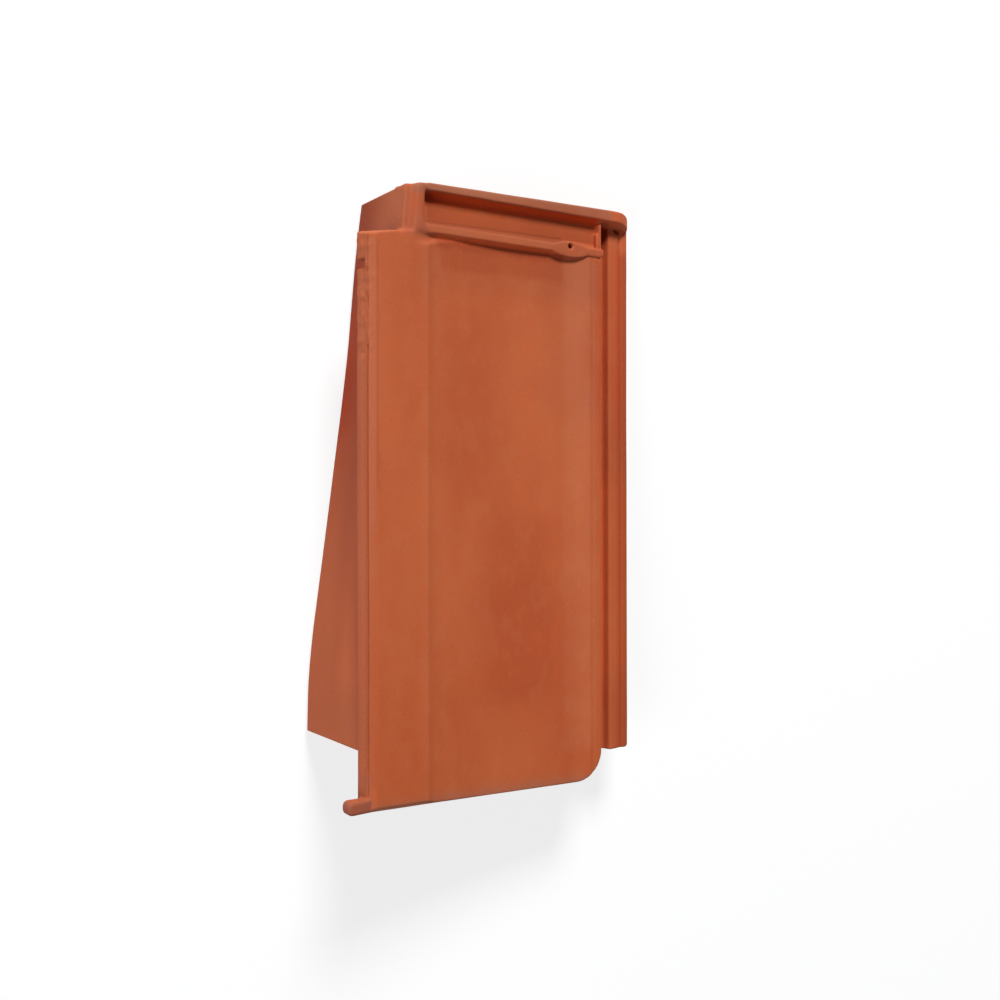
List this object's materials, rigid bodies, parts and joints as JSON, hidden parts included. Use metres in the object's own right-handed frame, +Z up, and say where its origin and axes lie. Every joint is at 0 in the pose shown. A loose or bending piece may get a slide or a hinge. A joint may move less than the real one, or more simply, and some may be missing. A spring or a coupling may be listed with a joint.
{
  "type": "clay roof tile",
  "caption": "Natural-red fired-clay verge tile with a dished face, side and head interlocks, a nail hole and a deep wing down its left side.",
  "frame": {"origin": "centre of the bounding box at floor level", "axes": "+Y along the tile towards its head (ridge) end, +X away from the wing, +Z up; the tile lies face up as it rests on a level floor"},
  "size_m": [0.2542, 0.4528, 0.1193],
  "materials": {
    "fired_clay": "matt"
  },
  "bodies": {
    "root": {"verge_tile": "fired_clay"}
  },
  "joints": []
}
